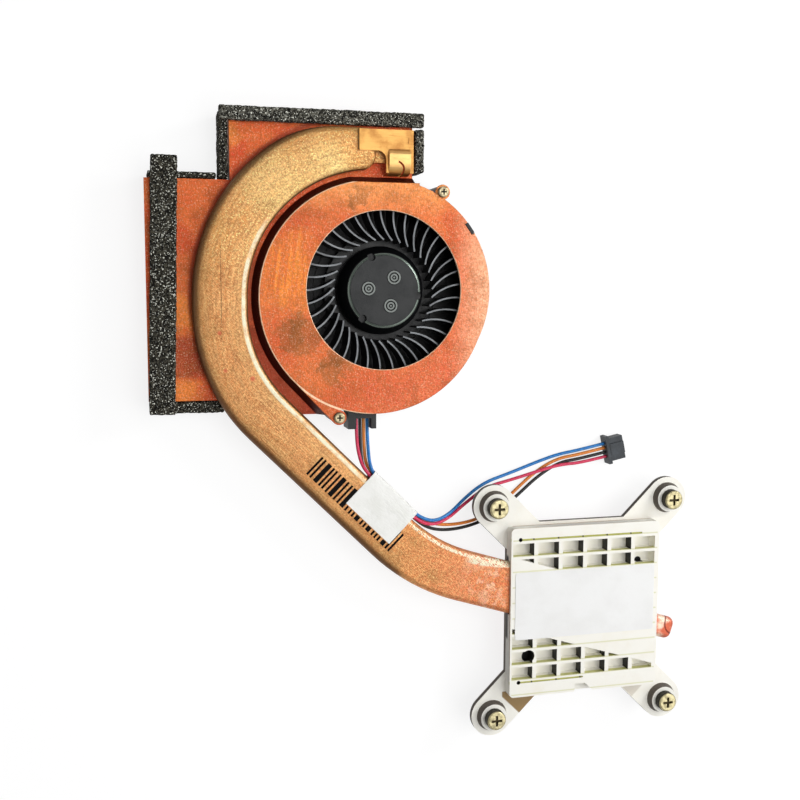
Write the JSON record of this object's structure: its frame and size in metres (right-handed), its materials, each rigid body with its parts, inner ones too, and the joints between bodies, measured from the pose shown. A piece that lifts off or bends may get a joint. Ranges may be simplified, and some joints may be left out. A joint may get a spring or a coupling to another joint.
{
  "type": "laptop cooling fan heatsink",
  "caption": "Flat laptop cooler: a radial blower under a stepped copper cover, foam-edged fin outlets, and a flattened heat pipe bent round the fan to a cast processor clamp.",
  "frame": {"origin": "on the fan axis, at the underside of the fan base", "axes": "+Z out of the air inlet, +Y out of the rear air outlet, -X out of the left air outlet; the processor clamp lies towards +X and -Y"},
  "size_m": [0.1466, 0.1661, 0.0133],
  "materials": {
    "copper_sheet": "satin, lightly tarnished copper",
    "copper_fins": "plain copper",
    "copper_pipe": "brushed, golden-brown copper",
    "clip_brass": "plain sheet",
    "copper_plate": "ground flat",
    "cast_clamp": "bright cast, nickel-like",
    "black_housing": "fine moulded texture",
    "black_impeller": "smooth moulded",
    "screw_steel": "plated",
    "ring_plastic": "plain",
    "yoke_steel": "plain",
    "magnet": "bonded ferrite",
    "shaft_steel": "ground",
    "bronze_sleeve": "sintered",
    "core_steel": "laminated",
    "coil_copper": "enamelled wire",
    "board": "solder resist",
    "pad_plastic": "plain",
    "foam": "open-cell foam",
    "label_paper": "bare white label",
    "tape_film": "white tape",
    "wire_red": "soft insulation",
    "wire_black": "soft insulation",
    "wire_orange": "soft insulation",
    "wire_blue": "soft insulation",
    "plug_black": "moulded",
    "contact_tin": "tinned"
  },
  "bodies": {
    "cooler": {"cover_plate": "copper_sheet", "fan_housing": "black_housing", "cover_screws": "screw_steel", "thrust_pad": "pad_plastic", "bearing_sleeve": "bronze_sleeve", "stator_core": "core_steel", "stator_coils": "coil_copper", "motor_board": "board", "fin_stack_left": "copper_fins", "fin_stack_rear": "copper_fins", "heat_pipe": "copper_pipe", "pipe_end_clip": "clip_brass", "processor_clamp": "cast_clamp", "cold_plate": "copper_plate", "clamp_label": "label_paper", "wire_tape": "tape_film", "plug_housing": "plug_black", "plug_contacts": "contact_tin", "wire_red": "wire_red", "wire_black": "wire_black", "wire_orange": "wire_orange", "wire_blue": "wire_blue", "foam_left_top": "foam", "foam_left_upper": "foam", "foam_left_lower": "foam", "foam_rear_top": "foam", "foam_rear_left": "foam", "foam_rear_right": "foam"},
    "rotor": {"impeller": "black_impeller", "rotor_yoke": "yoke_steel", "rotor_magnet": "magnet", "motor_shaft": "shaft_steel"},
    "screw_1": {"clamp_screw_1": "screw_steel", "screw_ring_1": "ring_plastic"},
    "screw_2": {"clamp_screw_2": "screw_steel", "screw_ring_2": "ring_plastic"},
    "screw_3": {"clamp_screw_3": "screw_steel", "screw_ring_3": "ring_plastic"},
    "screw_4": {"clamp_screw_4": "screw_steel", "screw_ring_4": "ring_plastic"}
  },
  "joints": [
    {"name": "rotor_spin", "type": "hinge", "parent": "cooler", "child": "rotor", "pos_m": [0, 0, 0.005], "axis": [0, 0, 1], "continuous": true},
    {"name": "screw_1_float", "type": "slide", "parent": "cooler", "child": "screw_1", "axis": [0, 0, 1], "range_m": [0, 0.0022]},
    {"name": "screw_2_float", "type": "slide", "parent": "cooler", "child": "screw_2", "axis": [0, 0, 1], "range_m": [0, 0.0022]},
    {"name": "screw_3_float", "type": "slide", "parent": "cooler", "child": "screw_3", "axis": [0, 0, 1], "range_m": [0, 0.0022]},
    {"name": "screw_4_float", "type": "slide", "parent": "cooler", "child": "screw_4", "axis": [0, 0, 1], "range_m": [0, 0.0022]}
  ]
}
